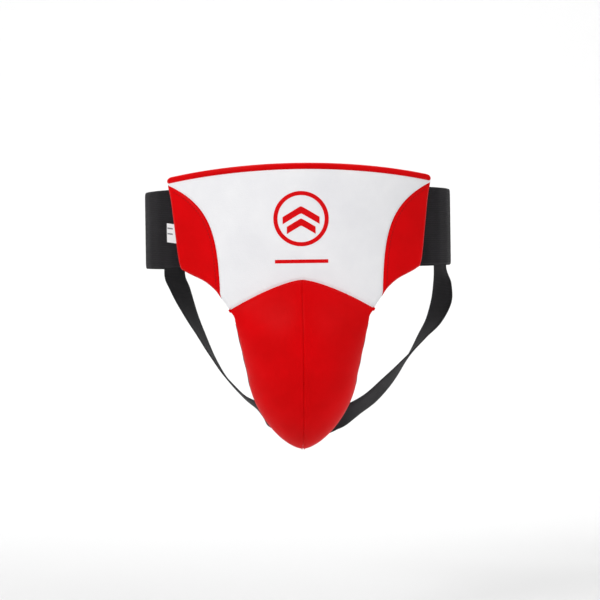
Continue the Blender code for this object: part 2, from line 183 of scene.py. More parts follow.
def normalsOf(grid, outward):
    # the cross product of a grid's two directions, turned to agree with outward on the whole
    across, along = np.gradient(grid, axis=1), np.gradient(grid, axis=0)
    n = np.cross(across, along)
    n /= np.maximum(np.linalg.norm(n, axis=-1, keepdims=True), 1e-12)
    return n * (1 if (n * outward).sum() > 0 else -1)


def lengthAlong(grid, axis):
    # how far each point lies along its row or column, on average over the grid
    step = np.linalg.norm(np.diff(grid, axis=axis), axis=-1).mean(axis=1 - axis)
    return np.concatenate([[0], np.cumsum(step)])


def putMesh(name, verts, faces, material, body, stands=(), uv=None):
    mesh = bpy.data.meshes.new(name)
    mesh.from_pydata(verts.tolist(), [], faces)
    if uv is not None:
        layer = mesh.uv_layers.new(name="cloth")
        corner = np.empty(len(mesh.loops), int)
        mesh.loops.foreach_get("vertex_index", corner)
        layer.data.foreach_set("uv", uv[corner].astype(np.float32).ravel())
    mesh.materials.append(material)
    mesh.shade_smooth()
    mesh.set_sharp_from_angle(angle=math.radians(50))
    piece = bpy.data.objects.new(name, mesh)
    bpy.context.collection.objects.link(piece)
    if body:
        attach(piece, body)
    if stands:
        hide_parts(*stands)
    return piece


def quads(rows, columns, start=0, flip=False, wrap=False):
    # the cells of a grid as index quads; wrap joins the last column to the first
    i, j = np.meshgrid(np.arange(rows - 1), np.arange(columns if wrap else columns - 1), indexing="ij")
    k = (j + 1) % columns
    q = np.stack([i * columns + j, i * columns + k, (i + 1) * columns + k, (i + 1) * columns + j], -1)
    q = q.reshape(-1, 4) + start
    return (q[:, ::-1] if flip else q).tolist()


def shell(name, outer, inner, material, body, stands=()):
    # a closed skin: two grids of one shape, with a wall along each of the four sides
    rows, columns = outer.shape[:2]
    count = rows * columns
    border = np.concatenate([
        np.arange(columns), np.arange(2, rows) * columns - 1, count - 1 - np.arange(columns),
        np.arange(rows - 2, 0, -1) * columns,
    ])
    following = np.roll(border, -1)
    wall = np.stack([border, border + count, following + count, following], -1)
    outward = (outer - inner).reshape(rows, columns, 3)
    right = (np.cross(np.gradient(outer, axis=1), np.gradient(outer, axis=0)) * outward).sum() < 0
    faces = quads(rows, columns, 0, not right) + quads(rows, columns, count, right)
    faces += (wall if right else wall[:, ::-1]).tolist()
    u, v = np.meshgrid(lengthAlong(outer, 1), lengthAlong(outer, 0))
    uv = np.stack([u.ravel(), v.ravel()], -1)
    verts = np.vstack([outer.reshape(-1, 3), inner.reshape(-1, 3)])
    return putMesh(name, verts, faces, material, body, stands, np.vstack([uv, uv]))


def tube(name, rings, material, body, stands=()):
    # a closed body through rings of points, with a point at the middle of each end
    rows, columns = rings.shape[:2]
    ends = np.stack([rings[0].mean(axis=0), rings[-1].mean(axis=0)])
    verts = np.vstack([rings.reshape(-1, 3), ends])
    faces = quads(rows, columns, wrap=True)
    tip, last = rows * columns, (rows - 1) * columns
    here = np.arange(columns)
    following = np.roll(here, -1)
    faces += np.stack([here * 0 + tip, following, here], -1).tolist()
    faces += np.stack([here * 0 + tip + 1, last + here, last + following], -1).tolist()
    u, v = np.meshgrid(lengthAlong(rings, 1), lengthAlong(rings, 0))
    uv = np.vstack([np.stack([u.ravel(), v.ravel()], -1), np.zeros((2, 2))])
    piece = putMesh(name, verts, faces, material, body, stands, uv)
    fixNormals(piece)
    return piece


def fixNormals(piece):
    # turns every face outwards once its doubles are merged
    work = bmesh.new()
    work.from_mesh(piece.data)
    bmesh.ops.remove_doubles(work, verts=work.verts, dist=1e-7)
    bmesh.ops.recalc_face_normals(work, faces=work.faces)
    work.to_mesh(piece.data)
    work.free()


def spaced(points, pitch):
    # points a fixed length apart along a path
    step = np.linalg.norm(np.diff(points, axis=0), axis=1)
    along = np.concatenate([[0], np.cumsum(step)])
    count = max(2, int(round(along[-1] / pitch)) + 1)
    at = np.linspace(0, along[-1], count)
    return np.stack([np.interp(at, along, points[:, k]) for k in range(3)], -1), at[1] - at[0]


def repeated(faces, pointCount, copies, start=0):
    # the same faces for each copy of a small mesh, its indices moved on by its point count
    moved = start + pointCount * np.arange(copies)[:, None, None]
    one = np.array(faces)
    return (one[None] + moved).reshape(-1, one.shape[1]).tolist()


stitchLook = {"pitch": 3.4 * mm, "length": 2.7 * mm, "radius": 0.42 * mm, "sides": 6}


def stitches(name, paths, material, body, stands=(), look=stitchLook):
    # each stitch is a spindle along the seam that dives into the surface at both ends
    sides = look["sides"]
    turns = np.linspace(0, 2 * math.pi, sides, endpoint=False)
    along = np.array([-0.5, -0.36, 0.0, 0.36, 0.5])
    girth = np.array([0.25, 0.85, 1.0, 0.85, 0.25])
    sink = np.array([-0.9, -0.1, 0.25, -0.1, -0.9])
    count = len(along) * sides
    verts, faces, start = [], [], 0
    for points, out in paths:
        spots, pitch = spaced(points, look["pitch"])
        middle = (spots[1:] + spots[:-1]) / 2
        ahead = unit(spots[1:] - spots[:-1])
        near = np.linalg.norm(points[None] - middle[:, None], axis=-1).argmin(axis=1)
        lift = out[near] if out.ndim == 2 else np.tile(out, (len(middle), 1))
        side = unit(np.cross(ahead, lift))
        lift = np.cross(side, ahead)
        ring = girth[:, None] * look["radius"]
        length = min(look["length"], pitch * 0.85)
        p = middle[:, None, None] + ahead[:, None, None] * (along[:, None, None] * length)
        p = p + side[:, None, None] * (ring * np.cos(turns))[..., None]
        height = ring * np.sin(turns) + (sink * look["radius"])[:, None]
        p = p + lift[:, None, None] * height[..., None]
        verts.append(p.reshape(-1, 3))
        faces += repeated(quads(len(along), len(turns), wrap=True), count, len(middle), start)
        faces += repeated([range(sides)[::-1], range(count - sides, count)], count, len(middle), start)
        start += len(middle) * count
    piece = putMesh(name, np.vstack(verts), faces, material, body, stands, None)
    fixNormals(piece)
    return piece


def edgeDistance(x, z, lines):
    # the shortest way from each point to any of the lines, in the plane of the front view
    flat = np.stack([x.ravel(), z.ravel()], -1)
    best = np.full(len(flat), 1.0)
    for line in lines:
        line = np.asarray(line)
        a, b = line[:-1], line[1:]
        span = b - a
        size = np.maximum((span**2).sum(axis=1), 1e-12)
        for k in range(0, len(flat), 4000):
            part = flat[k:k + 4000]
            t = np.clip(((part[:, None] - a) * span).sum(axis=-1) / size, 0, 1)
            gap = np.linalg.norm(part[:, None] - a - t[..., None] * span, axis=-1).min(axis=1)
            best[k:k + 4000] = np.minimum(best[k:k + 4000], gap)
    return best.reshape(x.shape)


def clustered(count, both=True, amount=0.8):
    # shares from 0 to 1 that lie closer together at the start, or at both ends
    s = np.linspace(0, 1, count)
    packed = 0.5 - 0.5 * np.cos(math.pi * s) if both else 1 - np.cos(math.pi / 2 * s)
    return s * (1 - amount) + packed * amount


# ---- materials

def toLinear(code, alpha=1.0):
    values = [int(code[k:k + 2], 16) / 255 for k in (1, 3, 5)]
    linear = [c / 12.92 if c <= 0.04045 else ((c + 0.055) / 1.055) ** 2.4 for c in values]
    return (*linear, alpha)


def addNode(tree, kind, inputs, out=0, **settings):
    # adds a node and gives one output; each input is a value, or a socket to link
    node = tree.nodes.new("ShaderNode" + kind)
    for key, value in settings.items():
        setattr(node, key, value)
    for key, value in inputs.items():
        if isinstance(value, bpy.types.NodeSocket):
            tree.links.new(value, node.inputs[key])
        else:
            node.inputs[key].default_value = value
    return node.outputs[out]


def startMaterial(name, **shader):
    made = bpy.data.materials.new(name)
    made.use_nodes = True
    tree = made.node_tree
    main = tree.nodes["Principled BSDF"]
    for key, value in shader.items():
        main.inputs[key.replace("_", " ")].default_value = value
    return made, tree, main


def coat(tree, main, share, base, other, strength, depth, height):
    # share picks a tone between two colours, and height gives the relief
    tone = addNode(tree, "Mix", {0: share, 6: toLinear(base), 7: toLinear(other)}, 2, data_type="RGBA")
    bump = addNode(tree, "Bump", {"Strength": strength, "Distance": depth, "Height": height})
    tree.links.new(tone, main.inputs["Base Color"])
    tree.links.new(bump, main.inputs["Normal"])


leatherLook = {"pebble": 1.1 * mm, "pore": 0.35 * mm, "cloud": 45 * mm, "relief": 0.22 * mm}


def puLeather(name, base, shade, roughness):
    # PU-coated synthetic leather, embossed with a fine pebble: soft satin, a little uneven
    made, tree, main = startMaterial(name, IOR=1.5, Specular_IOR_Level=0.05)
    place = addNode(tree, "TexCoord", {}, "Object")
    pebble = addNode(tree, "TexVoronoi", {
        "Vector": place, "Scale": 1 / leatherLook["pebble"], "Smoothness": 0.6,
    }, "Distance", feature="SMOOTH_F1")
    pore = addNode(tree, "TexNoise", {
        "Vector": place, "Scale": 1 / leatherLook["pore"], "Detail": 2.0}, "Fac")
    cloud = addNode(tree, "TexNoise", {
        "Vector": place, "Scale": 1 / leatherLook["cloud"], "Detail": 4.0, "Roughness": 0.55}, "Fac")
    soft = addNode(tree, "MapRange", {"Value": cloud, "From Min": 0.35, "From Max": 0.7})
    uneven = addNode(tree, "MapRange", {
        "Value": cloud, "From Min": 0.3, "From Max": 0.7,
        "To Min": roughness - 0.04, "To Max": roughness + 0.05})
    grainy = addNode(tree, "MapRange", {"Value": pore, "To Min": -0.03, "To Max": 0.03})
    rough = addNode(tree, "Math", {0: uneven, 1: grainy}, operation="ADD")
    big = addNode(tree, "Math", {0: pebble, 1: 0.8}, operation="MULTIPLY")
    small = addNode(tree, "Math", {0: pore, 1: 0.25}, operation="MULTIPLY")
    height = addNode(tree, "Math", {0: big, 1: small}, operation="ADD")
    tree.links.new(rough, main.inputs["Roughness"])
    coat(tree, main, soft, base, shade, 0.5, leatherLook["relief"], height)
    return made


wovenLook = {"fuzz": 1.11 * mm, "wear": 33.3 * mm}


def wovenBlack(name, base, thread, pitchAlong, pitchAcross, depth, sheen):
    # narrow-woven elastic or nylon: raised ribs one way and picks the other, dull and dark
    made, tree, main = startMaterial(name, Roughness=0.82, IOR=1.45, Sheen_Weight=sheen,
                                     Sheen_Roughness=0.5, Specular_IOR_Level=0.15)
    cloth = addNode(tree, "UVMap", {}, "UV", uv_map="cloth")
    waves = []
    for axis, pitch in (("Y", pitchAcross), ("X", pitchAlong)):
        place = addNode(tree, "SeparateXYZ", {"Vector": cloth}, axis)
        turns = addNode(tree, "Math", {0: place, 1: 2 * math.pi / pitch}, operation="MULTIPLY")
        waves.append(addNode(tree, "Math", {0: turns}, operation="SINE"))
    ribs, picks = waves
    raised = addNode(tree, "Math", {0: ribs, 1: 0.5}, operation="MULTIPLY")
    crossed = addNode(tree, "Math", {0: ribs, 1: picks}, operation="MULTIPLY")
    crossed = addNode(tree, "Math", {0: crossed, 1: 0.35}, operation="MULTIPLY")
    weave = addNode(tree, "Math", {0: raised, 1: crossed}, operation="ADD")
    place = addNode(tree, "TexCoord", {}, "Object")
    fuzz = addNode(tree, "TexNoise", {
        "Vector": place, "Scale": 1 / wovenLook["fuzz"], "Detail": 2.0}, "Fac")
    wear = addNode(tree, "TexNoise", {
        "Vector": place, "Scale": 1 / wovenLook["wear"], "Detail": 3.0}, "Fac")
    threads = addNode(tree, "MapRange", {
        "Value": weave, "From Min": -0.8, "From Max": 0.8, "To Max": 0.55})
    worn = addNode(tree, "MapRange", {
        "Value": wear, "From Min": 0.3, "From Max": 0.7, "To Min": -0.12, "To Max": 0.3})
    light = addNode(tree, "Math", {0: threads, 1: worn}, operation="ADD")
    soft = addNode(tree, "Math", {0: fuzz, 1: 0.5}, operation="MULTIPLY")
    height = addNode(tree, "Math", {0: weave, 1: soft}, operation="ADD")
    coat(tree, main, light, base, thread, 0.55, depth, height)
    return made


def noisy(name, base, other, grain, bumpDepth, **shader):
    # foam, moulded plastic, film and thread: one noise for tone and one bump of the same size
    made, tree, main = startMaterial(name, **shader)
    place = addNode(tree, "TexCoord", {}, "Object")
    noise = addNode(tree, "TexNoise", {"Vector": place, "Scale": 1 / grain, "Detail": 4.0}, "Fac")
    share = addNode(tree, "MapRange", {"Value": noise, "From Min": 0.35, "From Max": 0.65})
    coat(tree, main, share, base, other, 0.5, bumpDepth, noise)
    return made


whiteLeather = puLeather("white embossed PU leather", "#f6f6f8", "#efeff2", 0.46)
redLeather = puLeather("red embossed PU leather", "#e00006", "#d30003", 0.46)
elastic = wovenBlack("black woven elastic", "#161417", "#272528", 1.6 * mm, 1.9 * mm, 0.25 * mm, 0.05)
strapElastic = wovenBlack("black woven strap elastic", "#1f1e20", "#383639", 1.5 * mm, 1.6 * mm,
                          0.22 * mm, 0.05)
lining = wovenBlack("black nylon lining", "#17171a", "#2b2b30", 1.3 * mm, 1.3 * mm, 0.12 * mm, 0.1)
hookTape = wovenBlack("black hook tape", "#151517", "#28282c", 1.6 * mm, 1.6 * mm, 0.3 * mm, 0.05)
loopTape = noisy("black brushed loop tape", "#151517", "#2f2f34", 1.43 * mm, 0.6 * mm,
                 Roughness=0.95, Sheen_Weight=0.6, Sheen_Roughness=0.6, Specular_IOR_Level=0.2)
foamGrey = noisy("grey closed-cell EVA foam", "#8d8d88", "#7b7b77", 0.667 * mm, 0.15 * mm, Roughness=0.92)
cupPlastic = noisy("black moulded polypropylene", "#1c1c1f", "#232327", 2.38 * mm, 0.05 * mm,
                   Roughness=0.38)
redFilm = noisy("red heat-pressed film", "#e2030c", "#d90209", 3.85 * mm, 0.03 * mm, Roughness=0.38,
                Specular_IOR_Level=0.12)
redThread = noisy("red polyester thread", "#b4070c", "#930408", 0.385 * mm, 0.08 * mm, Roughness=0.55,
                  Specular_IOR_Level=0.12)
blackThread = noisy("black polyester thread", "#1a1a1c", "#37373b", 0.385 * mm, 0.08 * mm, Roughness=0.55,
                    Sheen_Weight=0.2)
labelSatin = wovenBlack("white woven satin label", "#e9e9ea", "#ffffff", 0.7 * mm, 0.7 * mm, 0.04 * mm, 0.2)
labelInk = noisy("grey woven mark", "#8c8c90", "#7a7a7e", 0.5 * mm, 0.03 * mm, Roughness=0.7)
print("materials made")

# ---- the padded waist

puff = {"crown": 0.7 * mm, "reach": 12 * mm, "dip": 0.9 * mm, "width": 1.5 * mm}


def puffed(distance):
    # rises towards the middle of a panel and is pulled in along its seams
    crown = puff["crown"] * (1 - np.exp(-distance / puff["reach"]))
    return puff["dip"] * np.exp(-((distance / puff["width"]) ** 2)) - crown


def frontDepth(e):
    # a quarter circle: the skin turns over the free edge, e is the distance to that edge
    r = pad["edgeRadius"]
    return r - np.sqrt(r**2 - np.clip(r - e, 0, r) ** 2)


heights = np.linspace(-71, 43.4, 120) * mm
sideSeamLine = np.stack([seamX(heights), heights], -1)
cupSeamXs = np.linspace(-72, 72, 90) * mm
cupSeamLine = np.stack([cupSeamXs, cupSeamZ(cupSeamXs)], -1)
topXs = np.linspace(-134, 134, 90) * mm
rimLine = np.stack([topXs, topZ(topXs) - pad["rim"]], -1)
flatMirror = np.array([-1, 1])
freeEdges = [edgeLine, edgeLine * flatMirror]
cornerLine = edgeLine[edgeLine[:, 1] < -69 * mm]


def skin(name, x, z, depth, material, stands):
    # a leather panel, its inner side square to its face
    outer = onFace(x, z, depth)
    inner = outer - normalsOf(outer, forwards) * leatherThickness
    piece = shell(name, outer, inner, material, "front_guard", stands)


def whitePanel():
    middle = np.linspace(0, cup["halfWidth"], 64)
    corner = np.linspace(73, 79.9, 9) * mm
    side = seamX(np.linspace(-70.2, 43.2, 86) * mm) - 0.1 * mm
    xs = np.concatenate([middle, corner, side])
    sideZ = seam["top"] + seam["length"] * np.log((side + 0.1 * mm - seam["inner"]) / seam["spread"])
    low = np.concatenate([cupSeamZ(middle), edgeZ(corner), sideZ])
    xs, low = np.concatenate([-xs[:0:-1], xs]), np.concatenate([low[:0:-1], low])
    high = topZ(xs) - pad["rim"]
    share = clustered(70)[:, None]
    x, z = np.tile(xs, (70, 1)), low + (high - low) * share
    near = edgeDistance(x, z, [sideSeamLine, sideSeamLine * flatMirror, cupSeamLine, rimLine])
    free = edgeDistance(x, z, [cornerLine, cornerLine * flatMirror])
    depth = puffed(near) + frontDepth(free)
    skin("white_panel", x, z, depth, whiteLeather, ["white_front_panel"])


def sidePanel(side, word):
    rows = np.concatenate([np.linspace(43.4, -34, 70), np.linspace(-35, -70.6, 60)]) * mm
    inner, outer = seamX(rows)[:, None] + 0.1 * mm, edgeX(rows)[:, None]
    share = clustered(56)
    x, z = inner + (outer - inner) * share, np.tile(rows[:, None], (1, len(share)))
    near = edgeDistance(x, z, [sideSeamLine, rimLine])
    free = edgeDistance(x, z, [edgeLine])
    fade = np.clip(free / (3 * mm), 0, 1)
    depth = puffed(near) * fade + frontDepth(free)
    skin(f"{word}_side_panel_leather", x * side, z, depth, redLeather,
         [f"{word}_side_panel"])


def waistPad():
    # the foam sheet with its lining: the back is flat and rolls forward at every free edge
    middle = np.linspace(0, cup["halfWidth"], 46)
    rest = edgeX(np.concatenate([np.linspace(-82.4, -45, 44), np.linspace(-43.5, 43.5, 60)]) * mm)
    xs = np.concatenate([middle, rest])
    low = np.concatenate([cupSeamZ(middle), edgeZ(rest)])
    xs, low = np.concatenate([-xs[:0:-1], xs]), np.concatenate([low[:0:-1], low])
    high = topZ(xs) - 1.5 * mm - 5 * mm * np.clip((np.abs(xs) - 125 * mm) / (8 * mm), 0, 1)
    share = clustered(56)[:, None]
    x, z = np.tile(xs, (56, 1)), low + (high - low) * share
    free = edgeDistance(x, z, freeEdges)
    r = pad["edgeRadius"]
    turn = np.sqrt(1 - (1 - np.clip(free / r, 0, 1)) ** 2)
    quilt = 0.5 * mm * np.exp(-(((free - 9 * mm) / (1.6 * mm)) ** 2))
    back = r + (padDepth(x) - r) * turn - quilt
    front = np.maximum(frontDepth(free) + 1.7 * mm, 0)
    front = np.minimum(front, back - 0.4 * mm)
    outer = onFace(x, z, back)
    piece = shell("waist_pad_lining", outer, onFace(x, z, front), lining, "front_guard",
                  ["waist_foam", "waist_lining"])


def topGusset():
    # a strip folded over the top edge: its profile runs up the front, over and down the back
    profile = smoothPath([(6.6, 1.3), (5.6, 0.1), (3.6, -0.45), (1.4, 0.5), (0.2, 2.6), (0, 5.5),
                          (0.3, 8.6), (1.6, 11.2), (3.8, 12.2), (6, 12.1), (7, 11.2), (6.4, 6)], 6) * mm
    xs = np.concatenate([[-134.2], np.linspace(-134, -129, 9), np.linspace(-127, 127, 110),
                         np.linspace(129, 134, 9), [134.2]]) * mm
    end = np.clip((134.25 * mm - np.abs(xs)) / (5 * mm), 0, 1)
    size = np.sqrt(1 - (1 - end) ** 2)[:, None]
    centre = np.array([3.6, 5.2]) * mm
    fit = ((padDepth(xs) + 0.3 * mm) / (12.8 * mm))[:, None]
    drop = centre[0] + (profile[:, 0] - centre[0]) * size
    depth = (centre[1] + (profile[:, 1] - centre[1]) * size) * fit
    x = np.tile(xs[:, None], (1, len(profile)))
    rings = onFace(x, topZ(x) - drop, depth)
    piece = tube("top_gusset_leather", rings, redLeather, "front_guard", ["top_gusset"])


def panelTopstitch():
    # a single row of red thread beside each side seam, on the red side
    rows = np.linspace(36, -62, 120) * mm
    x = seamX(rows) + 3.4 * mm * np.sqrt(1 + ((seamX(rows) - seam["inner"]) / seam["length"]) ** 2)
    near = edgeDistance(x, rows, [sideSeamLine])
    paths = []
    for side in (1, -1):
        points = onFace(x * side, rows, puffed(near) - 0.05 * mm)
        out = points - onFace(x * side, rows, puffed(near) + 1 * mm)
        paths.append((points, unit(out)))
    look = dict(stitchLook, radius=0.3 * mm)
    stitches("side_panel_topstitch", paths, redThread, "front_guard", (), look)


def liningStitch():
    # the row that holds the lining round the edge of the padding
    line = edgeLine[::-1]
    tangent = unit(np.gradient(line, axis=0))
    inset = line + np.stack([-tangent[:, 1], tangent[:, 0]], -1) * 9 * mm
    inset = inset[(inset[:, 1] < 41.5 * mm) & (inset[:, 1] > -72 * mm)]
    paths = []
    for side in (1, -1):
        depth = padDepth(inset[:, 0]) - 0.45 * mm
        points = onFace(inset[:, 0] * side, inset[:, 1], depth)
        out = onFace(inset[:, 0] * side, inset[:, 1], depth + 1 * mm) - points
        paths.append((points, out / mm))
    x = np.linspace(-122, 122, 160) * mm
    depth = padDepth(x) + 0.02 * mm
    points = onFace(x, topZ(x) - 10 * mm, depth)
    paths.append((points, (onFace(x, topZ(x) - 10 * mm, depth + 1 * mm) - points) / mm))
    stitches("lining_stitch", paths, blackThread, "front_guard", ())


whitePanel()
sidePanel(1, "right")
sidePanel(-1, "left")
waistPad()
topGusset()
panelTopstitch()
liningStitch()
print("waist made")

# ---- the cup

cupLook = {"roll": 4.2 * mm, "seamDip": 0.8 * mm, "seamWidth": 0.7 * mm, "flapDepth": 2.7 * mm}
cushionLook = {
    "inset": 0.12, "drop": 4.4 * mm, "pitch": 2.2 * mm, "wide": 7.4 * mm, "deep": 4.3 * mm,
    "taper": 0.02, "ripple": 0.02,
}
cavityLook = {"inset": 11.1 * mm, "foot": 3.2 * mm, "flap": 3.5 * mm, "thickness": 0.5 * mm}


def cupCover(side, word):
    # half of the dome, then a roll round its rim; the middle seam and the top seam are pulled in
    v = np.concatenate([clustered(30, False, 0.7) * 0.16 + 0.001, np.linspace(0.168, 0.983, 82)])
    s = np.concatenate([[0.0004, 0.004, 0.008], clustered(60, True, 0.7)[1:]])
    sGrid, vGrid = np.meshgrid(s, v)
    face = cupFace(sGrid, vGrid)
    out = normalsOf(face, forwards)
    fromMiddle = face[..., 0]
    fromTop = edgeDistance(face[..., 0], face[..., 2], [cupSeamLine])
    dip = cupLook["seamDip"] * np.exp(-((fromMiddle / cupLook["seamWidth"]) ** 2))
    dip += puff["dip"] * np.exp(-((fromTop / puff["width"]) ** 2))
    face = face - out * dip[..., None]
    rim = face[:, -1]
    along = unit(np.gradient(rim, axis=0))
    back = backOf(along)
    inwards = np.cross(back, along)
    inwards *= np.sign(-inwards[:, :1])
    turn = np.linspace(0.12, 1.9, 9)
    start = np.clip(v / 0.15, 0, 1)
    r = np.minimum(cupLook["roll"] * (0.08 + 0.92 * start), rim[:, 0] * 0.45)[:, None, None]
    roll = rim[:, None] + back[:, None] * (r * np.sin(turn)[:, None])
    roll = roll + inwards[:, None] * (r * (1 - np.cos(turn))[:, None])
    outer = np.concatenate([face, roll], axis=1)
    x = np.minimum(outer[:1, :, 0], 71 * mm)
    lift = 4 * mm * np.clip((cup["halfWidth"] - x) / (12 * mm), 0.05, 1)
    flap = onFace(x, cupSeamZ(x) + lift, cupLook["flapDepth"] + 0 * x)
    outer = np.concatenate([flap, outer], axis=0)
    outward = outer - np.array([0, -95 * mm, -125 * mm])
    inner = outer - normalsOf(outer, outward) * leatherThickness
    flip = np.array([side, 1, 1])
    piece = shell(f"{word}_cup_leather", outer * flip, inner * flip, redLeather, "front_guard",
                  [f"cup_cover_{word}"])


def rimPath(inset, drop, low=0.012, high=0.955, count=70):
    # round the back of the cup's rim, from one corner to the other, moved in and back
    down = np.sin(np.linspace(low, high, count) * math.pi / 2)
    z = cup["corner"] + (cup["tip"] - cup["corner"]) * down
    x = cupHalfWidth(z)
    y = faceY(x, z) + drop
    x, z = x * (1 - inset), z * (1 - inset) - 125 * mm * inset
    half = np.stack([x, y, z], -1)
    return np.vstack([half, half[::-1] * mirror])


def cupCushion():
    # a stuffed roll of lining fabric: flattened rings carried round the rim
    path = spaced(rimPath(cushionLook["inset"], cushionLook["drop"]), cushionLook["pitch"])[0]
    along = unit(np.gradient(path, axis=0))
    back = backOf(along)
    across = np.cross(along, back)
    turns = np.linspace(0, 2 * math.pi, 28, endpoint=False)
    share = np.linspace(0, 1, len(path))
    nearEnd = np.clip(np.minimum(share, 1 - share) / cushionLook["taper"], 0, 1)
    size = 0.25 + 0.75 * np.sqrt(1 - (1 - nearEnd) ** 2)
    ripple = 1 + cushionLook["ripple"] * np.sin(share * 90)
    wide = (cushionLook["wide"] * size * ripple)[:, None, None]
    deep = (cushionLook["deep"] * size)[:, None, None]
    rings = path[:, None] + across[:, None] * (wide * np.cos(turns)[:, None])
    rings = rings + back[:, None] * (deep * np.sin(turns)[:, None])
    piece = tube("cup_rim_cushion", rings, lining, "front_guard", ["cup_cushion"])


def cavityLining():
    # the fabric inside the cup: the dome moved in, easing back to the rim's plane at its foot
    v = np.linspace(0.012, 0.84, 70)
    s = np.linspace(-1, 1, 81)
    sGrid, vGrid = np.meshgrid(s, v)
    dome = cupFace(sGrid, vGrid, cavityLook["inset"])
    plane = dome.copy()
    plane[..., 1] = faceY(dome[..., 0], dome[..., 2]) + cavityLook["foot"]
    foot = eased(np.clip((vGrid - 0.5) / 0.26, 0, 1))[..., None]
    outer = dome * (1 - foot) + plane * foot
    x = outer[:1, :, 0]
    flap = onFace(x, cupSeamZ(x) + cavityLook["flap"], padDepth(x) + 0.4 * mm)
    outer = np.concatenate([flap, outer], axis=0)
    inner = outer + normalsOf(outer, forwards) * cavityLook["thickness"]
    piece = shell("cup_cavity_lining", outer, inner, lining, "front_guard", ["cup_lining"])


cupCover(1, "right")
cupCover(-1, "left")
cupCushion()
cavityLining()
print("cup made")


# ---- the emblem, a plain ring with chevrons

emblemLook = {
    "middle": 6 * mm, "radius": 27 * mm, "width": 4 * mm, "film": 0.18 * mm,
    "chevrons": {"upper": (9, 18), "lower": (-3, 14)},  # peak height and reach
    "chevronHalf": 3.5, "slope": 0.6, "barReach": 26, "barHeights": (-43.5, -40),
}


def film(name, x, z, stands):
    # a thin film laid on the panel, its edges just above the leather
    z = z + emblemLook["middle"]
    near = edgeDistance(x, z, [rimLine, cupSeamLine])
    outer = onFace(x, z, puffed(near) - emblemLook["film"] - 0.05 * mm)
    inner = onFace(x, z, puffed(near) + 0.1 * mm)
    shell(name, outer, inner, redFilm, "front_guard", stands)


def emblem():
    turns = np.linspace(0, 2 * math.pi, 121)
    for k, (start, stop) in enumerate(((0, 61), (60, 121))):
        t = turns[start:stop]
        r = np.linspace(emblemLook["radius"] - emblemLook["width"], emblemLook["radius"], 6)[:, None]
        film(f"emblem_ring_half_{k + 1}", r * np.cos(t), r * np.sin(t), ["emblem_ring"] if k == 0 else ())
    half, barReach = emblemLook["chevronHalf"], emblemLook["barReach"]
    for word, (peak, reach) in emblemLook["chevrons"].items():
        x = np.tile(np.linspace(-reach, reach, 41) * mm, (5, 1))
        z = peak * mm - np.sqrt(x**2 + (0.8 * mm) ** 2) * emblemLook["slope"]
        z = z + np.linspace(-half, half, 5)[:, None] * mm
        film(f"emblem_{word}_chevron_film", x, z, [f"emblem_{word}_chevron"])
    x, z = np.meshgrid(np.linspace(-barReach, barReach, 41), np.linspace(*emblemLook["barHeights"], 4))
    x, z = x * mm, z * mm
    film("emblem_bar_film", x, z, ["emblem_bar"])


emblem()
print("emblem made")

# ---- the waistband and its closure

bandLook = {
    "start": -43, "hinge": 40, "end": 105, "bend": 9,  # degrees
    "climb": (48, 68), "wave": 0.12 * mm, "cut": (0.078, 0.335),
}
outerRise = 6.4 * mm  # the closing half's outer face above the under half's


def bandLift(angle):
    # the closing half climbs over the under half along the climb
    low, high = bandLook["climb"]
    return outerRise * eased(np.clip((angle - low) / (high - low), 0, 1))


def wrapStrip(name, angles, low, high, z, material, body, stands=(), side=1):
    # a strip round the hips between two rises; z runs across it, and its long edges are rounded
    rounding = np.sqrt(1 - np.abs(2 * (z - z.min()) / (z.max() - z.min()) - 1) ** 24)[:, None]
    middle, half = (low + high) / 2, (high - low) / 2
    a = np.tile(angles, (len(z), 1))
    flip = np.array([side, 1, 1])
    outer = onHips(a, middle + half * rounding, z[:, None]) * flip
    inner = onHips(a, middle - half * rounding, z[:, None]) * flip
    return shell(name, outer, inner, material, body, stands)


def band():
    angles = np.linspace(bandLook["start"], bandLook["end"], 180)
    z = np.concatenate([np.linspace(-39, -37, 6), np.linspace(-36, 36, 30), np.linspace(37, 39, 6)]) * mm
    wave = bandLook["wave"] * np.sin(np.radians(angles) * 38)
    thick = hips["thickness"]
    for side, word, body, lift in ((1, "right", "closure_half", bandLift(angles)),
                                   (-1, "left", "under_half", 0 * angles)):
        piece = wrapStrip(f"{word}_elastic_band", angles, lift - thick + wave, lift + wave, z, elastic,
                          None, [f"{word}_side_band", f"{word}_rear_band"], side)
        start = onHips(bandLook["hinge"] - bandLook["bend"], 0, 0) * [side, 1, 1]
        end = onHips(bandLook["hinge"] + bandLook["bend"], 0, 0) * [side, 1, 1]
        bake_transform(piece)


band()
print("band made")

# ---- leg straps

strapLook = {"width": 32 * mm, "endWidth": 19 * mm, "thickness": 1.8 * mm}
leftStrap = {
    "angle": 32, "side": -1, "word": "left",
    "path": [
        (-122.5, 50, -66), (-113.5, 42, -88), (-103, 29, -109), (-91, 11, -131), (-77.5, -9, -151),
        (-61, -32, -168.5), (-46, -50, -180.5), (-33, -62, -189.5), (-21, -66.8, -197),
        (-9, -67.8, -201.5),
    ],
    "twist": [(-41, 42), (-63, 38), (-84, 25), (-105, 15), (-141, 0), (-181, -8), (-194.5, -82),
              (-201, -90)],
}
rightStrap = {
    "angle": 13, "side": 1, "word": "right",
    "path": [
        (151, 22, -64), (149, 20, -79), (141, 14.5, -97), (128, 7, -114), (112, -4, -134),
        (95, -19, -153), (75, -37, -170.5), (56.5, -51, -183), (39.5, -62, -192), (23, -66.8, -199),
        (10, -67.8, -202),
    ],
    "twist": [(-41, 20), (-60, 33), (-78, 38), (-97, 24), (-126, 0), (-157, -25), (-184, -34),
              (-196, -82), (-201.5, -90)],
}


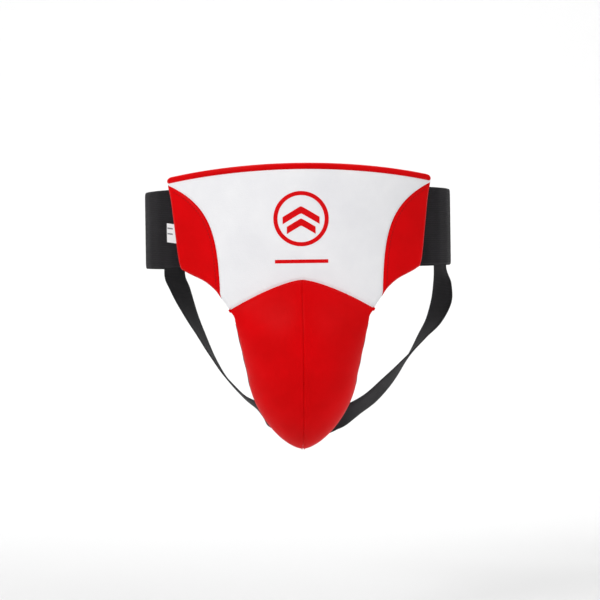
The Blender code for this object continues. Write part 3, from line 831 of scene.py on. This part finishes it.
def strapSurface(strap, columns=13, perSpan=14):
    # flat webbing carried along its path; it hugs the band at its top, then twists freely
    side, angle = strap["side"], strap["angle"]
    flip = np.array([side, 1, 1])
    depth = -hips["thickness"] - 0.3 * mm - strapLook["thickness"] / 2
    hang = [onHips(angle, depth, z * mm) * flip for z in (-12, -26, -40)]
    middle = smoothPath(np.vstack([hang, np.array(strap["path"]) * mm]), perSpan)
    along = unit(np.gradient(middle, axis=0))
    twistZ, twist = np.array(strap["twist"], float).T
    turn = np.radians(np.interp(-middle[:, 2], -twistZ * mm, twist))
    turn = np.convolve(np.pad(turn, 8, mode="edge"), np.ones(17) / 17, mode="valid")[:, None]
    level = unit(np.stack([along[:, 2], 0 * along[:, 0], -along[:, 0]], axis=1) * side)
    back = backOf(along)
    across = level * np.sin(turn) + back * np.cos(turn)
    across = unit(across - along * (across * along).sum(axis=1, keepdims=True))
    normal = np.cross(along, across)
    share = np.linspace(-0.5, 0.5, columns)
    fold = np.clip(np.linspace(5, 0, len(middle)) - 0.6, 0, 1)
    width = strapLook["endWidth"] + (strapLook["width"] - strapLook["endWidth"]) * fold
    flat = middle[:, None] + across[:, None] * (width[:, None] * share)[..., None]
    t = math.radians(angle)
    perDegree = math.radians(1) * math.hypot(hips["a"] * math.sin(t), hips["b"] * math.cos(t))
    angles = angle + share * strapLook["width"] / perDegree
    hugged = onHips(angles[None], depth, middle[:, 2:3]) * flip
    out = unit(onHips(angles[None], depth + mm, middle[:, 2:3]) * flip - hugged)
    ease = eased(np.clip((-hips["halfHeight"] - middle[:, 2]) / (20 * mm), 0, 1))[:, None, None]
    centre = hugged * (1 - ease) + flat * ease
    sign = np.sign((normal[0] * out[0, columns // 2]).sum())
    normals = unit(out * (1 - ease) + (sign * normal)[:, None] * ease)
    return centre, normals, share


def legStrap(strap):
    centre, normals, share = strapSurface(strap)
    half = strapLook["thickness"] / 2 * np.sqrt(1 - np.abs(2 * share) ** 10 * 0.85)[:, None]
    outer, inner = centre + normals * half, centre - normals * half
    piece = shell(f"{strap['word']}_strap_webbing", outer, inner, strapElastic, "front_guard",
                  [f"{strap['word']}_leg_strap"])


legStrap(leftStrap)
legStrap(rightStrap)


def anchorPatch():
    # the webbing patch that both straps are sewn to
    z = np.linspace(-210, -190, 9)[:, None] * mm
    x = (cupHalfWidth(z) - 5 * mm) * np.linspace(-1, 1, 25)
    front = np.stack([x, 0 * x - 71 * mm, z + 0 * x], -1)
    piece = shell("strap_anchor_patch", front, front + np.array([0, 1.8 * mm, 0]), strapElastic,
                  "front_guard", ["strap_anchor"])


anchorPatch()
print("straps made")

# ---- hook and loop closure

hookRise = (2.1 * mm, 3.6 * mm)
loopRise = (0.3 * mm, 1.8 * mm)


def closure():
    z = np.linspace(-33, 33, 45) * mm
    wrapStrip("loop_tape", np.linspace(60, 103, 90), loopRise[0], loopRise[1], z, loopTape,
              "under_half", ["loop_patch"], -1)
    wrapStrip("hook_tape", np.linspace(80, 104, 50), hookRise[0] + 0.8 * mm, hookRise[1], z, hookTape,
              "closure_half", ["hook_patch"])
    wrapStrip("pull_tab_leather", np.linspace(104, 112, 24), outerRise - 2.6 * mm, outerRise + 0.9 * mm,
              np.linspace(-30, 30, 40) * mm, redLeather, "closure_half", ["closure_pull_tab"])
    wrapStrip("under_end_binding", np.linspace(103.6, 108, 12), -2.9 * mm, 0.25 * mm,
              np.linspace(-39, 39, 40) * mm, lining, "under_half", ["left_end_binding"],
              -1)


def hooks():
    # rows of small bent hooks on the inner face of the closing half
    angles, heightsZ = np.meshgrid(np.linspace(80.6, 103.4, 42), np.linspace(-32, 32, 42) * mm)
    base = onHips(angles.ravel(), hookRise[0] + 0.8 * mm, heightsZ.ravel())
    out = unit(onHips(angles.ravel(), hookRise[0], heightsZ.ravel()) - base)
    side = unit(np.cross(out, up))
    rise = np.array([0, 0.45, 0.7, 0.62])[:, None] * mm
    lean = np.array([0, 0.05, 0.25, 0.5])[:, None] * mm
    spine = base[:, None] + out[:, None] * rise + side[:, None] * lean
    turns = np.linspace(0, 2 * math.pi, 4, endpoint=False)
    r = np.array([0.16, 0.13, 0.12, 0.08])[:, None, None] * mm
    rings = spine[:, :, None] + up * (r * np.cos(turns)[:, None])
    rings = rings + side[:, None, None] * (r * np.sin(turns)[:, None])
    one = quads(4, 4, wrap=True) + [[3, 2, 1, 0], [12, 13, 14, 15]]
    piece = putMesh("hook_tape_hooks", rings.reshape(-1, 3), repeated(one, 16, len(base)), cupPlastic,
                    "closure_half", (), None)
    fixNormals(piece)


closure()
hooks()
print("closure made")

# ---- stitching on the band, the straps and the closure


def rectangle(low, high, bottom, top, rise, side=1, cross=False):
    # a closed row of stitches on the band: angles low to high, heights bottom to top
    corners = [(low, bottom), (high, bottom), (high, top), (low, top), (low, bottom)]
    if cross:
        corners += [(high, top), (high, bottom), (low, top)]
    points = []
    for (a, b), (c, d) in zip(corners[:-1], corners[1:]):
        t = np.linspace(0, 1, 24)[:, None]
        points.append(np.array([[a, b]]) * (1 - t) + np.array([[c, d]]) * t)
    points = np.vstack(points)
    spots = onHips(points[:, 0], rise, points[:, 1] * mm)
    out = spots - onHips(points[:, 0], rise - mm, points[:, 1] * mm)
    flip = np.array([side, 1, 1])
    return spots * flip, out / mm * flip


def facing(path, sign):
    return path[0], path[1] * sign


def sewing():
    fine = dict(stitchLook, pitch=3.0 * mm, length=2.4 * mm, radius=0.34 * mm)
    rootPaths = []
    for side, angle in ((1, rightStrap["angle"]), (-1, leftStrap["angle"])):
        rootPaths.append(rectangle(angle - 6, angle + 6, -36, -15, 0.1 * mm, side, True))
        inside = rectangle(angle - 6, angle + 6, -36, -15, -2.8 * mm - 1.95 * mm, side, True)
        rootPaths.append(facing(inside, -1))
        rootPaths.append(facing(rectangle(-42, -36, -36, 36, -2.62 * mm, side), -1))
    stitches("band_box_stitches", rootPaths, blackThread, "front_guard", (), fine)
    hookRows = [rectangle(80.8, 103.2, -31.5, 31.5, outerRise + 0.12 * mm)]
    hookRows.append(rectangle(104.6, 111.3, -27.5, 27.5, outerRise + 0.95 * mm))
    stitches("closure_half_stitches", hookRows, blackThread, "closure_half", (), fine)
    loopRows = [rectangle(60.6, 102.4, -31.5, 31.5, loopRise[1] + 0.05 * mm, -1)]
    loopRows.append(facing(rectangle(60.6, 102.4, -31.5, 31.5, -2.62 * mm, -1), -1))
    stitches("under_half_stitches", loopRows, blackThread, "under_half", (), fine)


def barTack(name, low, high, z, tall, rise, side):
    # close zigzag: short threads side by side across the tack
    tight = dict(stitchLook, pitch=tall, length=tall, radius=0.3 * mm)
    paths = []
    for angle in np.linspace(low, high, max(4, int((high - low) * 4))):
        t = np.linspace(-0.5, 0.5, 3)
        spots = onHips(angle + 0 * t, rise, z * mm + t * tall) * [side, 1, 1]
        inwards = onHips(angle + 0 * t, rise - mm, z * mm) * [side, 1, 1] - spots
        inwards[:, 2] = 0
        paths.append((spots, inwards / mm))
    stitches(f"{name}_thread", paths, blackThread, "front_guard", [name], tight)


def barTacks():
    for side, word in ((1, "right"), (-1, "left")):
        for z, place in ((27, "upper"), (-27, "lower")):
            barTack(f"{word}_band_{place}_tack", -42, -40.5, z, 15 * mm, -2.75 * mm, side)
    for strap in (rightStrap, leftStrap):
        for z, place in ((-17, "upper"), (-35, "lower")):
            low, high = strap["angle"] - 6, strap["angle"] + 6
            barTack(f"{strap['word']}_strap_{place}_tack", low, high, z, 2.4 * mm, -4.85 * mm,
                    strap["side"])


def anchorStitches():
    # the straps' lower ends, sewn to the patch through both layers
    paths = []
    for low, high in ((-17, -10.5), (11, 17)):
        for z in (-207, -194):
            x = np.linspace(low, high, 6) * mm
            points = np.stack([x, 0 * x - 66.8 * mm, 0 * x + z * mm], -1)
            paths.append((points, np.array([0, 1.0, 0])))
    stitches("anchor_stitches", paths, blackThread, "front_guard", ())


sewing()
barTacks()
anchorStitches()
print("stitching made")

# ---- the label


labelLook = {
    "angles": (-39.8, -33.1), "middle": -6 * mm, "tilt": 2 * mm, "curl": 0.7 * mm,
    "bars": ((4, 5.4), (-1.5, -0.1)),  # heights above the label's middle
}


def ribbon(angles, z, low, high):
    # a patch on the left of the hips that climbs evenly and lifts as the square towards its end
    start, end = labelLook["angles"]
    share = (np.tile(angles, (len(z), 1)) - start) / (end - start)
    height = z[:, None] + labelLook["middle"] + share * labelLook["tilt"]
    curl = labelLook["curl"] * share**2
    return onHips(angles, high + curl, height) * mirror, onHips(angles, low + curl, height) * mirror


def label():
    # a folded satin ribbon caught under the edge of the left panel, with two plain woven bars
    angles = np.linspace(*labelLook["angles"], 18)
    outer, inner = ribbon(angles, np.linspace(-9.5, 9.5, 24) * mm, 0.35 * mm, 0.75 * mm)
    piece = shell("woven_label", outer, inner, labelSatin, "front_guard", ["size_label"])
    for k, (low, high) in enumerate(labelLook["bars"]):
        outer, inner = ribbon(angles[8:17], np.linspace(low, high, 3) * mm, 0.7 * mm, 0.84 * mm)
        shell(f"woven_label_bar_{k + 1}", outer, inner, labelInk, "front_guard", ())


label()

# ---- nodes that stay as they are, inside the padding

for node, material in (("cup_foam", foamGrey), ("hard_cup", cupPlastic)):
    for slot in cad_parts[node].material_slots:
        slot.material = material
print("label and inner parts made")

# ---- floor, light and camera

light = {
    "world": 0.38,
    "lamps": {  # place, aim, size and power in watts
        "key": ((-1.5, -1.6, 1.3), (0, 0, -0.05), 0.9, 25.5),
        "fill": ((1.7, -1.6, 1.1), (0, 0, -0.05), 1.6, 14),
        "top": ((0.1, 0.2, 1.9), (0, 0, -0.08), 1.6, 1.5),
        "backdrop": ((0, 1.4, 2.3), (0, 3.0, -0.4), 2.2, 72),
    },
}
stageLook = {"level": -0.4, "flat": 1.6, "curve": 2.6, "paper": "#e4e4e4"}
eyeLook = {"distance": 2.1, "azimuth": -1.5, "roll": -0.8, "aim": (0.001, 0.0, -0.0735), "field": 0.311}


def stageAndLight():
    # a pale floor that curves up all round, so no horizon shows
    bend = np.linspace(0, math.pi / 2, 15)
    radius = np.concatenate([[0, 0.8, 1.4], stageLook["flat"] + stageLook["curve"] * np.sin(bend)])[:, None]
    height = np.concatenate([[0, 0, 0], stageLook["curve"] * (1 - np.cos(bend))])[:, None]
    turns = np.linspace(0, 2 * math.pi, 64, endpoint=False)
    bowl = np.stack([radius * np.cos(turns), radius * np.sin(turns),
                     height + stageLook["level"] + 0 * turns], -1)
    mesh = bpy.data.meshes.new("studio_floor")
    mesh.from_pydata(bowl.reshape(-1, 3).tolist(), [], quads(*bowl.shape[:2], wrap=True))
    mesh.shade_smooth()
    made, _, main = startMaterial("pale studio paper", Roughness=0.9)
    main.inputs["Base Color"].default_value = toLinear(stageLook["paper"])
    mesh.materials.append(made)
    floor = bpy.data.objects.new("studio_floor", mesh)
    bpy.context.collection.objects.link(floor)
    fixNormals(floor)

    world = bpy.data.worlds.new("studio")
    world.use_nodes = True
    back = world.node_tree.nodes["Background"]
    back.inputs["Color"].default_value = (1, 1, 1, 1)
    back.inputs["Strength"].default_value = light["world"]
    bpy.context.scene.world = world
    for name, (place, target, size, power) in light["lamps"].items():
        data = bpy.data.lights.new(name, "AREA")
        data.energy, data.size = power, size
        lamp = bpy.data.objects.new(name, data)
        lamp.location = place
        aim = Vector(target) - Vector(place)
        lamp.rotation_euler = aim.to_track_quat("-Z", "Y").to_euler()
        bpy.context.collection.objects.link(lamp)


def camera():
    # level, in front; the field is the half width it sees at the origin's distance
    data = bpy.data.cameras.new("camera")
    turn = math.radians(eyeLook["azimuth"])
    data.angle = 2 * math.atan(eyeLook["field"] / eyeLook["distance"])
    data.clip_end = 30
    eye = bpy.data.objects.new("camera", data)
    aim = Vector(eyeLook["aim"])
    eye.location = aim + eyeLook["distance"] * Vector((math.sin(turn), -math.cos(turn), 0))
    look = (aim - eye.location).to_track_quat("-Z", "Y")
    eye.rotation_euler = (look @ Quaternion((0, 0, 1), math.radians(eyeLook["roll"]))).to_euler()
    bpy.context.collection.objects.link(eye)
    bpy.context.scene.camera = eye


stageAndLight()
camera()
bpy.context.scene.view_settings.view_transform = "Standard"
print("stage, light and camera made")
